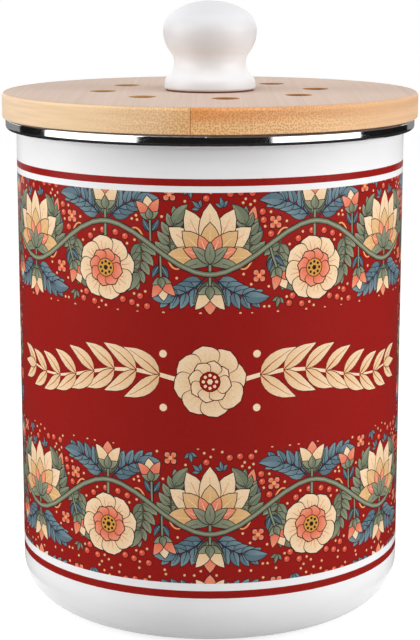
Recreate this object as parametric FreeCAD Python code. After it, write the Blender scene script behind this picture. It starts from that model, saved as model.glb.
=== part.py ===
"""Countertop compost caddy: an enamelled steel canister with a steel-trimmed rim and a vented bamboo lid.

The lid lifts straight off and turns in the mouth. Under it a push-fit holder carries a charcoal filter pad.
Millimetres, +Z up. The origin is on the floor, on the canister's axis, and -Y is the front.
"""

import FreeCAD
import Part

import math
import os

# Canister: one drawn and enamelled steel shell
CANISTER_RADIUS = 79.4
CANISTER_HEIGHT = 202.2
WALL = 1.2
BASE_CORNER_RADIUS = 18.4
BASE_RING_WIDTH = 16.0
BASE_RECESS_RISE = 1.6
BASE_RECESS_SLOPE = 4.0
BASE_RECESS_RADIUS = 4.0
LIP_REACH = 3.75
LIP_DROP = 2.5
LIP_EDGE_RADIUS = 1.5
LIP_ROOT_RADIUS = 0.6
LIP_FOLD_RADIUS = 0.3
MOUTH_RADIUS = 1.8

# Steel band crimped over the rolled lip
BAND_THICKNESS = 0.5
BAND_FIT = 0.05
BAND_TOP_WIDTH = 4.4
BAND_UPPER_RADIUS = 0.85
BAND_LOWER_RADIUS = 1.5
BAND_WALL_GAP = 0.25

# Bamboo lid board with its plug
LID_SEAT_GAP = 0.2
LID_OVERHANG = 1.3
LID_THICKNESS = 10.2
LID_TOP_RADIUS = 1.5
LID_LOWER_RADIUS = 0.4
PLUG_DEPTH = 9.0
PLUG_GAP = 2.8
PLUG_EDGE_RADIUS = 1.0
PLUG_RING_WIDTH = 15.0
VENT_COUNT = 8
VENT_DIAMETER = 10.0
VENT_INSET = 16.4
VENT_PHASE = 8.0
VENT_CHAMFER = 0.5

# Silicone seal in the plug's groove
GROOVE_HEIGHT = 5.0
GROOVE_DEPTH = 2.4
SEAL_FIT = 0.12
SEAL_LIP_THICKNESS = 1.0
SEAL_LIP_RISE = 0.5
SEAL_LIP_EDGE_RADIUS = 0.4
SEAL_WALL_GAP = 0.3
SEAL_LIP_COUNT = 2

# Charcoal pad and its push-fit holder
PAD_THICKNESS = 6.0
PAD_FIT = 0.4
PAD_EDGE_RADIUS = 0.8
AIR_GAP = 2.4
HOLDER_FIT = 0.3
HOLDER_SEAT_GAP = 0.2
HOLDER_WALL = 1.8
HOLDER_FLOOR = 1.6
HOLDER_FLANGE_THICKNESS = 1.8
HOLDER_FLANGE_REACH = 7.0
HOLDER_HEAD_GAP = 1.0
HOLDER_EDGE_RADIUS = 0.5
SLOT_WIDTH = 3.2
SLOT_BORDER = 4.5
SLOT_HUB_RADIUS = 16.0
SLOT_BRIDGE = 4.0
INNER_SLOT_COUNT = 12
OUTER_SLOT_COUNT = 24
PULL_LENGTH = 24.0
PULL_THICKNESS = 3.0
PULL_HEIGHT = 7.0
PULL_CORNER_RADIUS = 2.5

# Glazed knob, turned shape from foot to crown
KNOB_FOOT_HEIGHT = 1.8
KNOB_FOOT_EDGE_RADIUS = 1.0
KNOB_FOOT_SHOULDER_RADIUS = 5.0
KNOB_FOOT_FLARE = 4.15
KNOB_NECK_RADIUS = 14.6
KNOB_NECK_CURVE = 6.5
KNOB_WAIST = 4.5
KNOB_BULB_RISE = 12.9
KNOB_DOME_HEIGHT = 12.1
KNOB_CROWN = 2.7

# Knob fixings
CUSHION_THICKNESS = 0.6
CUSHION_INSET = 0.8
CUSHION_HOLE_RADIUS = 3.2
INSERT_RADIUS = 4.5
INSERT_LENGTH = 14.0
INSERT_FIT = 0.05
INSERT_HOLE_SPARE = 2.0
SCREW_RADIUS = 2.5
SCREW_FIT = 0.05
SCREW_TIP_SPARE = 3.0
SCREW_TIP_CHAMFER = 0.6
SCREW_HOLE_GAP = 0.4
HEAD_RADIUS = 4.75
HEAD_HEIGHT = 3.0
HEAD_EDGE_RADIUS = 1.4
DRIVE_LENGTH = 5.0
DRIVE_WIDTH = 1.1
DRIVE_DEPTH = 1.7
HEAD_CLEARANCE = 0.7
WASHER_RADIUS = 8.0
WASHER_THICKNESS = 1.2
WASHER_HOLE_GAP = 0.3
WASHER_EDGE_RADIUS = 0.2
COUNTERBORE_GAP = 0.5

# Heights and radii that follow from the sizes above
canister_bore = CANISTER_RADIUS - WALL
lip_radius = CANISTER_RADIUS + LIP_REACH
band_inner_radius = lip_radius + BAND_FIT
band_radius = band_inner_radius + BAND_THICKNESS
band_top = CANISTER_HEIGHT + BAND_FIT + BAND_THICKNESS
lid_base = band_top + LID_SEAT_GAP
lid_top = lid_base + LID_THICKNESS
lid_radius = band_radius + LID_OVERHANG
plug_radius = canister_bore - PLUG_GAP
plug_base = lid_base - PLUG_DEPTH
recess_radius = plug_radius - PLUG_RING_WIDTH
vent_circle_radius = recess_radius - VENT_INSET
groove_base = plug_base + (PLUG_DEPTH - GROOVE_HEIGHT) / 2
groove_radius = plug_radius - GROOVE_DEPTH

holder_base = plug_base - HOLDER_SEAT_GAP - HOLDER_FLANGE_THICKNESS
holder_radius = recess_radius - HOLDER_FIT
holder_bore = holder_radius - HOLDER_WALL
pad_base = holder_base + HOLDER_FLOOR
pad_top = pad_base + PAD_THICKNESS
pad_radius = holder_bore - PAD_FIT
recess_top = pad_top + AIR_GAP

counterbore_depth = WASHER_THICKNESS + HEAD_HEIGHT + HEAD_CLEARANCE
washer_top = recess_top + counterbore_depth
washer_base = washer_top - WASHER_THICKNESS
knob_base = lid_top + CUSHION_THICKNESS
knob_foot_radius = KNOB_NECK_RADIUS + KNOB_FOOT_FLARE
screw_top = knob_base + INSERT_LENGTH - SCREW_TIP_SPARE


def unit(start, end):
    """The direction from one (r, z) point to another, and the distance between them."""
    distance = math.hypot(end[0] - start[0], end[1] - start[1])
    return ((end[0] - start[0]) / distance, (end[1] - start[1]) / distance), distance


def along(start, direction, distance):
    return (start[0] + direction[0] * distance, start[1] + direction[1] * distance)


def in_space(point):
    """A point of a profile, given as (r, z), in the XZ plane."""
    return FreeCAD.Vector(point[0], 0, point[1])


def line(start, end):
    return Part.LineSegment(in_space(start), in_space(end)).toShape()


def arc(start, middle, end):
    return Part.Arc(in_space(start), in_space(middle), in_space(end)).toShape()


def rounded_corner(before, corner, after, radius):
    """Start, middle and end of the arc that rounds a corner of a profile."""
    back, _ = unit(corner, before)
    ahead, _ = unit(corner, after)
    half_angle = math.acos(max(-1.0, min(1.0, back[0] * ahead[0] + back[1] * ahead[1]))) / 2
    reach = radius / math.tan(half_angle)
    inward, _ = unit((0, 0), (back[0] + ahead[0], back[1] + ahead[1]))
    centre_distance = radius / math.sin(half_angle)
    middle = along(corner, inward, centre_distance - radius)
    return along(corner, back, reach), middle, along(corner, ahead, reach)


def profile_edges(points):
    """Edges of a closed profile whose points are (r, z) or (r, z, corner radius)."""
    corners = []
    for index, point in enumerate(points):
        here = point[:2]
        if len(point) == 3:
            before = points[index - 1][:2]
            after = points[(index + 1) % len(points)][:2]
            corners.append(rounded_corner(before, here, after, point[2]))
        else:
            corners.append((here,))
    edges = []
    for index, corner in enumerate(corners):
        following = corners[(index + 1) % len(corners)]
        if len(corner) == 3:
            edges.append(arc(*corner))
        edges.append(line(corner[-1], following[0]))
    return edges


def turned(edges):
    """The solid made by turning a closed profile about the Z axis."""
    face = Part.Face(Part.Wire(edges))
    solid = face.revolve(FreeCAD.Vector(0, 0, 0), FreeCAD.Vector(0, 0, 1), 360)
    return solid.removeSplitter()


def turned_profile(points):
    return turned(profile_edges(points))


def cylinder(radius, base, top, x=0.0, y=0.0):
    return Part.makeCylinder(radius, top - base, FreeCAD.Vector(x, y, base))


def ring(inner_radius, outer_radius, base, top, edge_radius):
    """A flat ring with all four of its edges rounded."""
    return turned_profile([
        (inner_radius, base, edge_radius),
        (outer_radius, base, edge_radius),
        (outer_radius, top, edge_radius),
        (inner_radius, top, edge_radius),
    ])


def upright_box(x_length, y_length, base, top):
    """A box centred on the axis."""
    corner = FreeCAD.Vector(-x_length / 2, -y_length / 2, base)
    return Part.makeBox(x_length, y_length, top - base, corner)


def turned_about_axis(shape, degrees):
    copy = shape.copy()
    copy.rotate(FreeCAD.Vector(0, 0, 0), FreeCAD.Vector(0, 0, 1), degrees)
    return copy


def make_canister_body():
    """Steel shell, with a dished base that stands on a flat ring and a lip rolled outwards."""
    ring_outer = CANISTER_RADIUS - BASE_CORNER_RADIUS
    ring_inner = ring_outer - BASE_RING_WIDTH
    recess_edge = ring_inner - BASE_RECESS_SLOPE
    lip_under = CANISTER_HEIGHT - WALL
    lip_end = CANISTER_HEIGHT - LIP_DROP
    return turned_profile([
        (0, BASE_RECESS_RISE),
        (recess_edge, BASE_RECESS_RISE, BASE_RECESS_RADIUS),
        (ring_inner, 0, WALL),
        (CANISTER_RADIUS, 0, BASE_CORNER_RADIUS),
        (CANISTER_RADIUS, lip_under, LIP_ROOT_RADIUS),
        (lip_radius - WALL, lip_under, LIP_FOLD_RADIUS),
        (lip_radius - WALL, lip_end),
        (lip_radius, lip_end),
        (lip_radius, CANISTER_HEIGHT, LIP_EDGE_RADIUS),
        (canister_bore, CANISTER_HEIGHT, MOUTH_RADIUS),
        (canister_bore, WALL, BASE_CORNER_RADIUS - WALL),
        (ring_inner, WALL, BASE_RECESS_RADIUS),
        (recess_edge, BASE_RECESS_RISE + WALL, WALL),
        (0, BASE_RECESS_RISE + WALL),
    ])


def make_rim_band():
    """Bright steel channel that hugs the top, side and underside of the lip."""
    channel_top = CANISTER_HEIGHT + BAND_FIT
    curl_radius = BAND_LOWER_RADIUS - BAND_THICKNESS
    channel_base = CANISTER_HEIGHT - LIP_DROP - curl_radius
    top_edge = band_radius - BAND_TOP_WIDTH
    wall_edge = CANISTER_RADIUS + BAND_WALL_GAP
    return turned_profile([
        (top_edge, channel_top),
        (band_inner_radius, channel_top, BAND_UPPER_RADIUS - BAND_THICKNESS),
        (band_inner_radius, channel_base, curl_radius),
        (wall_edge, channel_base),
        (wall_edge, channel_base - BAND_THICKNESS),
        (band_radius, channel_base - BAND_THICKNESS, BAND_LOWER_RADIUS),
        (band_radius, band_top, BAND_UPPER_RADIUS),
        (top_edge, band_top),
    ])


def make_vent(angle):
    """One vent hole's tool, with a countersunk mouth in the lid's top face."""
    x = vent_circle_radius * math.cos(math.radians(angle))
    y = vent_circle_radius * math.sin(math.radians(angle))
    radius = VENT_DIAMETER / 2
    bore = cylinder(radius, plug_base, lid_top + VENT_CHAMFER, x, y)
    mouth_base = FreeCAD.Vector(x, y, lid_top - VENT_CHAMFER)
    mouth = Part.makeCone(radius, radius + 2 * VENT_CHAMFER, 2 * VENT_CHAMFER, mouth_base)
    return bore.fuse(mouth)


def make_lid_board():
    """Bamboo disc with a plug below it: seal groove outside, filter recess inside, and eight vents."""
    board = turned_profile([
        (0, recess_top),
        (recess_radius, recess_top),
        (recess_radius, plug_base),
        (plug_radius, plug_base, PLUG_EDGE_RADIUS),
        (plug_radius, groove_base),
        (groove_radius, groove_base),
        (groove_radius, groove_base + GROOVE_HEIGHT),
        (plug_radius, groove_base + GROOVE_HEIGHT),
        (plug_radius, lid_base),
        (lid_radius, lid_base, LID_LOWER_RADIUS),
        (lid_radius, lid_top, LID_TOP_RADIUS),
        (0, lid_top),
    ])
    for number in range(VENT_COUNT):
        board = board.cut(make_vent(VENT_PHASE + number * 360 / VENT_COUNT))
    board = board.cut(cylinder(SCREW_RADIUS + SCREW_HOLE_GAP, recess_top, lid_top))
    return board.cut(cylinder(WASHER_RADIUS + COUNTERBORE_GAP, recess_top, washer_top))


def make_lid_seal():
    """Silicone ring seated in the groove, with upturned lips that reach for the canister's wall."""
    inner = groove_radius + SEAL_FIT
    tip = canister_bore - SEAL_WALL_GAP
    base = groove_base + SEAL_FIT
    height = GROOVE_HEIGHT - 2 * SEAL_FIT
    pitch = height / SEAL_LIP_COUNT
    points = [(inner, base)]
    for number in range(SEAL_LIP_COUNT):
        root = base + number * pitch
        points += [
            (plug_radius, root),
            (tip, root + SEAL_LIP_RISE, SEAL_LIP_EDGE_RADIUS),
            (tip, root + SEAL_LIP_RISE + SEAL_LIP_THICKNESS, SEAL_LIP_EDGE_RADIUS),
            (plug_radius, root + SEAL_LIP_THICKNESS),
        ]
    points += [(plug_radius, base + height), (inner, base + height)]
    return turned_profile(points)


def make_slots(count, inner_radius, outer_radius):
    """Tools for a ring of round-ended radial slots through the holder's floor."""
    top = holder_base + HOLDER_FLOOR
    half_width = SLOT_WIDTH / 2
    first = inner_radius + half_width
    last = outer_radius - half_width
    straight = Part.makeBox(
        last - first, SLOT_WIDTH, HOLDER_FLOOR, FreeCAD.Vector(first, -half_width, holder_base)
    )
    slot = straight.fuse([
        cylinder(half_width, holder_base, top, first),
        cylinder(half_width, holder_base, top, last),
    ])
    return [turned_about_axis(slot, number * 360 / count) for number in range(count)]


def make_pull_bar():
    """The upright bar under the holder that is pinched to pull the holder out."""
    half_length = PULL_LENGTH / 2
    foot = holder_base + HOLDER_FLOOR / 2
    tip = holder_base - PULL_HEIGHT
    outline = profile_edges([
        (-half_length, foot),
        (-half_length, tip, PULL_CORNER_RADIUS),
        (half_length, tip, PULL_CORNER_RADIUS),
        (half_length, foot),
    ])
    bar = Part.Face(Part.Wire(outline)).extrude(FreeCAD.Vector(0, PULL_THICKNESS, 0))
    bar.translate(FreeCAD.Vector(0, -PULL_THICKNESS / 2, 0))
    return bar


def make_filter_holder():
    """Moulded cup that pushes into the lid's recess and carries the filter pad on its slotted floor."""
    flange_radius = recess_radius + HOLDER_FLANGE_REACH
    flange_top = holder_base + HOLDER_FLANGE_THICKNESS
    rim_top = recess_top - HOLDER_HEAD_GAP
    cup = turned_profile([
        (0, holder_base),
        (flange_radius, holder_base, HOLDER_EDGE_RADIUS),
        (flange_radius, flange_top, HOLDER_EDGE_RADIUS),
        (holder_radius, flange_top),
        (holder_radius, rim_top, HOLDER_EDGE_RADIUS),
        (holder_bore, rim_top, HOLDER_EDGE_RADIUS),
        (holder_bore, holder_base + HOLDER_FLOOR),
        (0, holder_base + HOLDER_FLOOR),
    ])
    slot_outer = holder_bore - SLOT_BORDER
    slot_middle = (SLOT_HUB_RADIUS + slot_outer) / 2
    inner_slots = make_slots(INNER_SLOT_COUNT, SLOT_HUB_RADIUS, slot_middle - SLOT_BRIDGE / 2)
    outer_slots = make_slots(OUTER_SLOT_COUNT, slot_middle + SLOT_BRIDGE / 2, slot_outer)
    cup = cup.cut(inner_slots + outer_slots)
    return cup.fuse(make_pull_bar()).removeSplitter()


def make_charcoal_filter():
    """Activated-carbon foam pad."""
    return turned_profile([
        (0, pad_base),
        (pad_radius, pad_base, PAD_EDGE_RADIUS),
        (pad_radius, pad_top, PAD_EDGE_RADIUS),
        (0, pad_top),
    ])


def make_knob():
    """Glazed knob: rounded foot, waisted neck and a domed bulb, all joined by tangent arcs."""
    foot_reach = KNOB_NECK_CURVE + KNOB_FOOT_SHOULDER_RADIUS
    shoulder_z = knob_base + KNOB_FOOT_HEIGHT
    neck_z = shoulder_z + math.sqrt(KNOB_FOOT_FLARE * (2 * foot_reach - KNOB_FOOT_FLARE))
    bulb_z = neck_z + KNOB_BULB_RISE
    top_z = bulb_z + KNOB_DOME_HEIGHT
    bulb_radius = KNOB_NECK_RADIUS + KNOB_WAIST

    shoulder_centre = (knob_foot_radius - KNOB_FOOT_SHOULDER_RADIUS, shoulder_z)
    neck_centre = (KNOB_NECK_RADIUS + KNOB_NECK_CURVE, neck_z)
    belly_curve = (KNOB_WAIST**2 + KNOB_BULB_RISE**2) / (2 * KNOB_WAIST) - KNOB_NECK_CURVE
    belly_centre = (bulb_radius - belly_curve, bulb_z)
    cheek_curve = KNOB_DOME_HEIGHT - KNOB_CROWN
    cheek_centre = (bulb_radius - cheek_curve, bulb_z)
    dome_spread = cheek_centre[0] ** 2 + KNOB_DOME_HEIGHT**2 - cheek_curve**2
    dome_curve = dome_spread / (2 * KNOB_CROWN)
    dome_centre = (0, top_z - dome_curve)

    to_shoulder, _ = unit(neck_centre, shoulder_centre)
    to_belly, _ = unit(neck_centre, belly_centre)
    to_cheek, _ = unit(dome_centre, cheek_centre)
    side = (knob_foot_radius, shoulder_z)
    foot_end = along(neck_centre, to_shoulder, KNOB_NECK_CURVE)
    neck_end = along(neck_centre, to_belly, KNOB_NECK_CURVE)
    widest = (bulb_radius, bulb_z)
    dome_end = along(dome_centre, to_cheek, dome_curve)
    crown = (0, top_z)

    def bend(start, end, centre, radius):
        """An arc about a centre, through the middle of the way from start to end."""
        to_start, _ = unit(centre, start)
        to_end, _ = unit(centre, end)
        bisector, _ = unit((0, 0), (to_start[0] + to_end[0], to_start[1] + to_end[1]))
        return arc(start, along(centre, bisector, radius), end)

    edge_start, edge_middle, edge_end = rounded_corner(
        (0, knob_base), (knob_foot_radius, knob_base), side, KNOB_FOOT_EDGE_RADIUS
    )
    body = turned([
        line((0, knob_base), edge_start),
        arc(edge_start, edge_middle, edge_end),
        line(edge_end, side),
        bend(side, foot_end, shoulder_centre, KNOB_FOOT_SHOULDER_RADIUS),
        bend(foot_end, neck_end, neck_centre, KNOB_NECK_CURVE),
        bend(neck_end, widest, belly_centre, belly_curve),
        bend(widest, dome_end, cheek_centre, cheek_curve),
        bend(dome_end, crown, dome_centre, dome_curve),
        line(crown, (0, knob_base)),
    ])
    socket_top = knob_base + INSERT_LENGTH + INSERT_HOLE_SPARE
    return body.cut(cylinder(INSERT_RADIUS + INSERT_FIT, knob_base, socket_top))


def make_knob_cushion():
    """Thin washer that keeps the hard knob off the wood."""
    outer = knob_foot_radius - CUSHION_INSET
    disc = cylinder(outer, lid_top, knob_base)
    return disc.cut(cylinder(CUSHION_HOLE_RADIUS, lid_top, knob_base))


def make_knob_insert():
    """Threaded brass sleeve bonded into the knob."""
    sleeve = cylinder(INSERT_RADIUS, knob_base, knob_base + INSERT_LENGTH)
    return sleeve.cut(cylinder(SCREW_RADIUS + SCREW_FIT, knob_base, knob_base + INSERT_LENGTH))


def make_knob_screw():
    """Pan-head screw driven up through the lid into the knob's insert."""
    head_base = washer_base - HEAD_HEIGHT
    screw = turned_profile([
        (0, head_base),
        (HEAD_RADIUS, head_base, HEAD_EDGE_RADIUS),
        (HEAD_RADIUS, washer_base),
        (SCREW_RADIUS, washer_base),
        (SCREW_RADIUS, screw_top - SCREW_TIP_CHAMFER),
        (SCREW_RADIUS - SCREW_TIP_CHAMFER, screw_top),
        (0, screw_top),
    ])
    slot_top = head_base + DRIVE_DEPTH
    screw = screw.cut(upright_box(DRIVE_LENGTH, DRIVE_WIDTH, head_base, slot_top))
    return screw.cut(upright_box(DRIVE_WIDTH, DRIVE_LENGTH, head_base, slot_top))


def make_knob_washer():
    """Flat washer that spreads the screw's pull over the wood."""
    return ring(
        SCREW_RADIUS + WASHER_HOLE_GAP, WASHER_RADIUS, washer_base, washer_top, WASHER_EDGE_RADIUS
    )


PIECES = {
    "canister_body": make_canister_body,
    "rim_band": make_rim_band,
    "lid_seal": make_lid_seal,
    "lid_board": make_lid_board,
    "knob": make_knob,
    "knob_cushion": make_knob_cushion,
    "knob_insert": make_knob_insert,
    "knob_screw": make_knob_screw,
    "knob_washer": make_knob_washer,
    "filter_holder": make_filter_holder,
    "charcoal_filter": make_charcoal_filter,
}


def main():
    os.makedirs("parts", exist_ok=True)
    for name, make in PIECES.items():
        shape = make()
        shape.exportStep(f"parts/{name}.step")
        box = shape.optimalBoundingBox(False)
        print(
            f"{name}: {len(shape.Solids)} solid, valid {shape.isValid()}, {shape.Volume / 1000:.2f} cm3,"
            f" z {box.ZMin:.2f} to {box.ZMax:.2f}, width {box.XLength:.2f}"
        )


main()
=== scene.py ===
"""Looks of the compost caddy: a printed enamel canister, a bamboo lid and its fittings, in studio light."""

import collections
import random
from math import atan2, ceil, cos, hypot, pi, prod, radians, sin, tan, tau

import bmesh
import bpy
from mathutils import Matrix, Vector, noise
from mathutils.geometry import delaunay_2d_cdt
from mathutils.kdtree import KDTree


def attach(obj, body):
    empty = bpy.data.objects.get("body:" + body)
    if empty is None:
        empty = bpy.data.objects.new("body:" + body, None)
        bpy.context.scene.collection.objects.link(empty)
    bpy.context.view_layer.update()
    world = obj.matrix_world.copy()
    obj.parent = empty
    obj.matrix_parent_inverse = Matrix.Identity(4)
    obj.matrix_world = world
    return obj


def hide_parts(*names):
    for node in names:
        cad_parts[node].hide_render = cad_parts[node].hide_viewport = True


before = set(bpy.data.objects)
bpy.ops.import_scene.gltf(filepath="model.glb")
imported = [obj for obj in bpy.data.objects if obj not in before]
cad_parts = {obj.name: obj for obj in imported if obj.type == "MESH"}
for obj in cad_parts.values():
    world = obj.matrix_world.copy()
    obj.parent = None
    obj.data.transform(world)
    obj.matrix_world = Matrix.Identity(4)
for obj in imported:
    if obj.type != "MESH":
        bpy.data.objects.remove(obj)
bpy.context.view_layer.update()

MM = 0.001

# Canister shell, in millimetres, as in the solid that it stands for
CANISTER_RADIUS = 79.4
CANISTER_HEIGHT = 202.2
WALL = 1.2
BASE_CORNER_RADIUS = 18.4
BASE_RING_WIDTH = 16.0
BASE_RECESS_RISE = 1.6
BASE_RECESS_SLOPE = 4.0
BASE_RECESS_RADIUS = 4.0
LIP_REACH = 3.75
LIP_DROP = 2.5
LIP_EDGE_RADIUS = 1.5
LIP_ROOT_RADIUS = 0.6
LIP_FOLD_RADIUS = 0.3
MOUTH_RADIUS = 1.8
ARC_STEP = radians(7.5)

# Printed band, in millimetres on the unrolled wall; x = 0 is the front and y is the height
PRINT_REPEATS = 6
PRINT_ROWS = 3
REPEAT_STRIPS = 14
SHEET_LOW = 20.5
SHEET_HIGH = 188.0
LOWER_LINE = (22.35, 25.4)
UPPER_LINE = (183.4, 186.1)
BAND_LOW = 28.4
BAND_HIGH = 181.0
PANEL_LOW = 82.6
PANEL_HIGH = 135.1
PANEL_HALF_ANGLE = 75.5
PRINT_RISE = 4.1
OUTLINE = 0.32
RIB_WIDTHS = (0.42, 0.14)
UPRIGHT = pi / 2

REPEAT = tau * CANISTER_RADIUS / PRINT_REPEATS
QUARTER = REPEAT / 4
ROW = (BAND_HIGH - BAND_LOW) / PRINT_ROWS
PANEL_HALF_WIDTH = radians(PANEL_HALF_ANGLE) * CANISTER_RADIUS
STRIPS = PRINT_REPEATS * REPEAT_STRIPS
STRIP_TURN = tau / STRIPS

# A row of flowers along its running stem, in millimetres
WAVE = 9.5
WAVE_STEPS = 40
ROW_STEM = 1.7
FLOWER_STEM = 1.1
LOTUS_SIZE = 23
LOTUS_STEM = 4
ROSETTE_RADIUS = 12.5
ROSETTE_DROP = 8.5
CREST_LEAF = 23
SIDE_LEAF = 22
CREST_BUD = 11
BUD_STEM = 0.9
BUD_RISE = 4.5
SPRIG_LENGTH = 9.5
TENDRIL_SIZE = 8.5

# Small motifs between the large ones: kind, half its size in millimetres, and how often it is tried
FILLERS = (
    ("spray", 4.3, 500),
    ("flower", 2.9, 500),
    ("leaf", 2.3, 700),
    ("berry", 1.25, 900),
    ("seed", 0.55, 900),
)
FILLER_SEED = 11
FILLER_GAP = 0.55
FILLER_REACH = 1.15
FILLER_CORE = 0.3
LEAF_FANS = {"spray": ((1.3, 0.65), 0.5), "leaf": ((0.9,), 0.62)}

# Heights in a row at which the band's foot or the panel's edges cut it
CUT_EDGES = [edge - BAND_LOW - PRINT_RISE - ROW / 2 for edge in (BAND_LOW, PANEL_LOW, PANEL_HIGH)]

# Shifts of a row's copies about it; every other row stands half a repeat aside
ROW_COPIES = [(REPEAT * (column + 0.5 * abs(row)), ROW * row)
              for row in (-1, 0, 1) for column in (-2, -1, 0, 1)]

# Garland on the panel, in millimetres and radians
GARLAND_START = 10
GARLAND_STEP = 9.4
GARLAND_STEPS = 9
GARLAND_WAVE = 3.6
GARLAND_LEAF = 18.5
GARLAND_LEAN = 0.84
GARLAND_FLOWER = 14
GARLAND_BERRY = (18, 10.5, 1.5)

# Cutting the sheet, in millimetres and radians, and joining its parts, in metres
CUT_TOLERANCE = 0.001
DISSOLVE_ANGLE = 0.14
MERGE_DISTANCE = 0.000002

# The canister's texture map: most of it for the print, and a stripe each for the inside and the underside
TEXTURE_MAP = "OFBake"
MAP_MARGIN = 0.004
MAP_PRINT_SHARE = 0.9
MAP_STRIPE = 0.05

# Charcoal pad, in millimetres
PAD_RADIUS = 57.9
PAD_BASE = 193.55
PAD_TOP = 199.55
PAD_EDGE_RADIUS = 1.6
PAD_EDGE_STEP = 1.0
PAD_RINGS = 26
PAD_SEGMENTS = 120
PAD_DENT = 0.12
PAD_DENT_SCALE = 260.0

# Bamboo board and knob, in metres
BOARD_SEAM = -0.0072
BOARD_STRIP_WIDTH = 0.0215
BOARD_PLY_HEIGHT = 0.2094
BOARD_PLY_BLEND = 400.0
BOARD_REACH = 0.078
DOT_SCALE = 1050.0
DOT_MIDDLE = 0.01
DOT_FADE = 15.0
VENT_REACH = 0.055
# Dark brown tint of the vent walls: painted shade in the holes
VENT_PAINTED_SHADE = (0.46, 0.37, 0.18, 1)
# Foot and height of the knob, the span over which its colour carries painted shade on top and painted light
# in the neck
KNOB_FOOT = 0.2136
KNOB_HEIGHT = 0.0358

# Depths of relief in the finishes, in metres
FINE_RELIEF = 0.0001
SOFT_RELIEF = 0.0002
FOAM_RELIEF = 0.0006

# Camera and studio, in metres and degrees
CAMERA_PLACE = (0.0, -0.7688, 0.2709)
CAMERA_PITCH = 11.327
CAMERA_LENS = 104.93
FLOOR_SIZE = 8.0
FLOOR_COLOUR = (0.5, 0.5, 0.5)
FLOOR_LIFT = 0.76
CARD_DISTANCE = 1.25
CARD_HEIGHT = 0.85
FRONT_CARD = (-0.98, 0.79)
BLACK = (0.002, 0.002, 0.002)
GREY = (0.32, 0.32, 0.32)
WHITE = (1, 1, 1)
DARK_CARDS = {"left_dark": (-100, -128), "right_dark": (88, 140)}
GREY_CARDS = {"left_grey": (-128, -180), "right_grey": (140, 180)}
GREY_CARD_HEIGHT = 0.25
WHITE_CARDS = {"left_white": (-39, -100), "right_white": (33, 88)}
WHITE_CARD_GLOW = 1.4
SIDE_BOXES = {"left_front": (-38, -68, 1.5), "left_back": (-68, -100, 6.6),
              "right_front": (30, 60, 1.7), "right_back": (60, 88, 7.3)}
BOX_DISTANCE = 1.2
BOX_LOW = 0.055
BOX_HEIGHT = 0.6
TOP_BOX_PLACE = (0.0, -0.5, 1.4)
TOP_BOX_AIM = (0.0, 0.0, 0.12)
TOP_BOX_SIZE = (1.2, 0.8)
TOP_BOX_RADIANCE = 3.7
WORLD_LIGHT = 0.4
MAT_RADII = (0.09, 2.0)
MAT_HEIGHT = 0.0005
MAT_STEP = 6


def linear(value):
    """One screen value from 0 to 255 as linear light."""
    share = value / 255
    return share / 12.92 if share <= 0.04045 else ((share + 0.055) / 1.055) ** 2.4


def screen(red, green, blue):
    """A colour in screen values as linear light."""
    return (linear(red), linear(green), linear(blue))


# Bare enamel, and the inks of the print
BARE = (0.82, 0.816, 0.82)
GROUND = screen(146, 29, 25)
PLUM = screen(96, 18, 30)
INK = screen(44, 30, 34)
NAVY = screen(34, 50, 64)
SLATE = screen(92, 114, 124)
MIST = screen(126, 148, 154)
MOSS = screen(74, 80, 64)
SAGE = screen(112, 120, 98)
LICHEN = screen(148, 150, 124)
CREAM = screen(240, 212, 176)
BUFF = screen(224, 184, 136)
OCHRE = screen(206, 150, 68)
AMBER = screen(230, 162, 104)
CORAL = screen(216, 84, 62)
BLUSH = screen(234, 150, 118)

BLUE_INKS = (MIST, SLATE)
DEEP_BLUE_INKS = (SLATE, NAVY)
GREEN_INKS = (LICHEN, SAGE)
DEEP_GREEN_INKS = (SAGE, MOSS)
WARM_INKS = (BLUSH, CORAL)
GOLD_INKS = (BUFF, OCHRE)
PALE_INKS = (CREAM, BUFF)

# A flat shape of the print: its ink fades from first_ink at the point first to last_ink at the point last
Shape = collections.namedtuple("Shape", "outline first_ink last_ink first last")


def moved(point, angle, distance):
    return (point[0] + distance * cos(angle), point[1] + distance * sin(angle))


def between(start, end, share):
    return tuple(a + (b - a) * share for a, b in zip(start, end))


def flat(outline, ink):
    return Shape(outline, ink, ink, outline[0], outline[1])


def box_shape(low, high, ink):
    return flat([low, (high[0], low[1]), high, (low[0], high[1])], ink)


def disc(centre, radius, ink, sides=10):
    return flat([moved(centre, tau * k / sides, radius) for k in range(sides)], ink)


def redrawn(shapes, put):
    """The same shapes with each point put elsewhere."""
    return [shape._replace(outline=[put(point) for point in shape.outline],
                           first=put(shape.first), last=put(shape.last)) for shape in shapes]


def shifted(shapes, x, y):
    return redrawn(shapes, lambda point: (point[0] + x, point[1] + y))


def half_turned(shapes, centre):
    return redrawn(shapes, lambda point: (2 * centre[0] - point[0], 2 * centre[1] - point[1]))


def spine(start, angle, length, bend, steps):
    """Points and headings along a line that bends evenly."""
    points = [start]
    for step in range(steps):
        points.append(moved(points[-1], angle + bend * (step + 0.5) / steps, length / steps))
    headings = [angle + bend * step / steps for step in range(steps + 1)]
    return points, headings


def both_sides(point, heading, half):
    """The points to the left and to the right of a line."""
    return moved(point, heading + pi / 2, half), moved(point, heading - pi / 2, half)


def blade_edges(start, angle, length, width, bend, belly, blunt, steps):
    """Left edge, middle and right edge of a leaf or petal; a larger belly is widest nearer the tip."""
    middle, headings = spine(start, angle, length, bend, steps)
    pairs = []
    for step, (point, heading) in enumerate(zip(middle, headings)):
        swell = sin(pi * (step / steps) ** belly)
        half = width / 2 * max(swell, 0.0) ** blunt if step < steps else 0.0
        pairs.append(both_sides(point, heading, half))
    left, right = zip(*pairs)
    return list(left), middle, list(right)


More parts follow.
